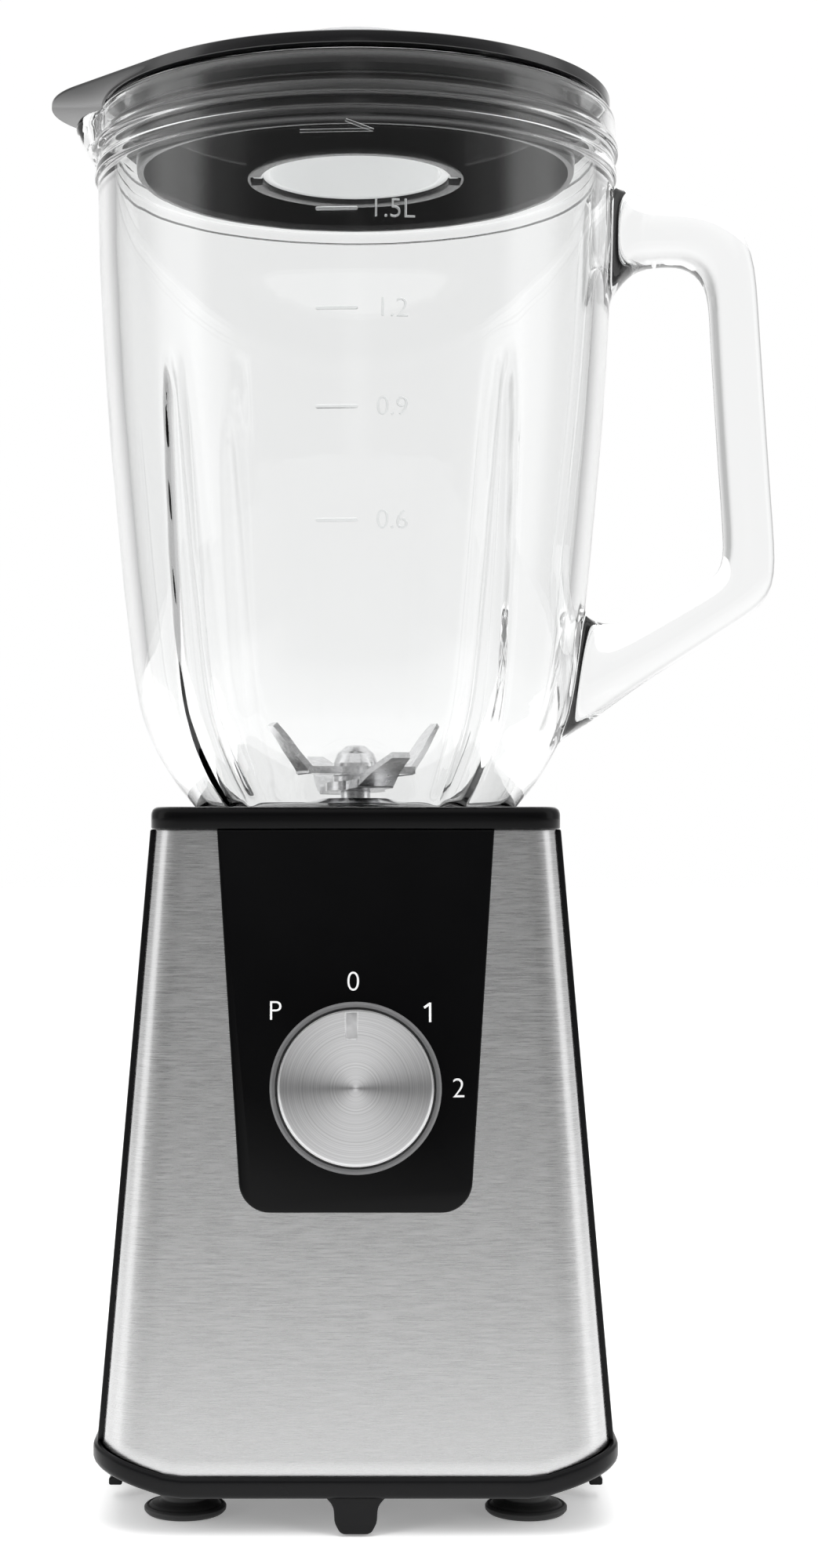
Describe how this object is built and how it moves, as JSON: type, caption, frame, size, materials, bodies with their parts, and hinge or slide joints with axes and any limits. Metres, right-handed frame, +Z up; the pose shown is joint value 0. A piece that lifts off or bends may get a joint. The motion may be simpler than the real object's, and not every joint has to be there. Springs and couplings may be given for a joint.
{
  "type": "countertop blender",
  "caption": "Countertop blender: tapered steel-fronted motor base with a speed knob, and a lift-off glass jar with a side handle, pouring spout, cutting blades, lid and clear filler cap.",
  "frame": {"origin": "on the jar's and motor's vertical axis, in the plane that the feet stand on", "axes": "+Z up, -Y towards the knob, +X towards the jar's handle"},
  "size_m": [0.1934, 0.1418, 0.38],
  "materials": {
    "steel_skin": "brushed",
    "gloss_black": "gloss",
    "satin_black": "satin",
    "foot_rubber": "matte",
    "jar_glass": "clear",
    "clear_plastic": "clear",
    "knob_grip": "satin",
    "knob_metal": "spun",
    "blade_steel": "ground",
    "seal_rubber": "matte",
    "zinc": "plated",
    "lamination": "matt",
    "copper": "bright",
    "bracket": "satin",
    "carbon": "matt",
    "white_plastic": "satin",
    "coupling": "satin",
    "board_green": "satin"
  },
  "bodies": {
    "base": {"base_plate": "satin_black", "feet": "foot_rubber", "base_screws": "zinc", "housing": "satin_black", "front_cover": "steel_skin", "control_panel": "gloss_black", "top_collar": "gloss_black", "cord_gland": "satin_black", "motor_stator": "lamination", "field_coils": "copper", "upper_bracket": "bracket", "lower_bracket": "bracket", "bearings": "zinc", "motor_screws": "zinc", "brush_holders": "copper", "carbon_brushes": "carbon", "motor_mounts": "foot_rubber", "rotary_switch": "white_plastic", "switch_nut": "zinc", "circuit_board": "board_green", "interlock_switch": "white_plastic"},
    "rotor": {"motor_shaft": "zinc", "armature": "lamination", "commutator": "copper", "cooling_fan": "white_plastic", "drive_coupling": "coupling"},
    "knob": {"knob_body": "knob_grip", "knob_cap": "knob_metal", "switch_spindle": "white_plastic"},
    "jar": {"glass_jar": "jar_glass", "jar_base": "satin_black", "blade_bush": "blade_steel", "bush_gasket": "seal_rubber", "bush_nut": "blade_steel"},
    "blades": {"blade_shaft": "blade_steel", "blades_upper": "blade_steel", "blades_lower": "blade_steel", "blade_spacer": "blade_steel", "blade_nut": "blade_steel", "driven_coupling": "coupling"},
    "lid": {"lid": "gloss_black", "lid_seal": "seal_rubber"},
    "cap": {"filler_cap": "clear_plastic"}
  },
  "joints": [
    {"name": "motor_spin", "type": "hinge", "parent": "base", "child": "rotor", "pos_m": [0, 0, 0.1], "axis": [0, 0, 1], "continuous": true},
    {"name": "knob_turn", "type": "hinge", "parent": "base", "child": "knob", "pos_m": [0, -0.05592, 0.1086], "axis": [0, -0.9969, 0.0789], "range_deg": [-90, 45]},
    {"name": "jar_lift", "type": "slide", "parent": "base", "child": "jar", "axis": [0, 0, 1], "range_m": [0, 0.06]},
    {"name": "blade_spin", "type": "hinge", "parent": "jar", "child": "blades", "pos_m": [0, 0, 0.18], "axis": [0, 0, 1], "continuous": true},
    {"name": "lid_lift", "type": "slide", "parent": "jar", "child": "lid", "axis": [0, 0, 1], "range_m": [0, 0.05]},
    {"name": "cap_lift", "type": "slide", "parent": "lid", "child": "cap", "axis": [0, 0, 1], "range_m": [0, 0.05]}
  ],
  "couplings": [
    {"joint": "blade_spin", "follows": "motor_spin", "ratio": 1}
  ]
}
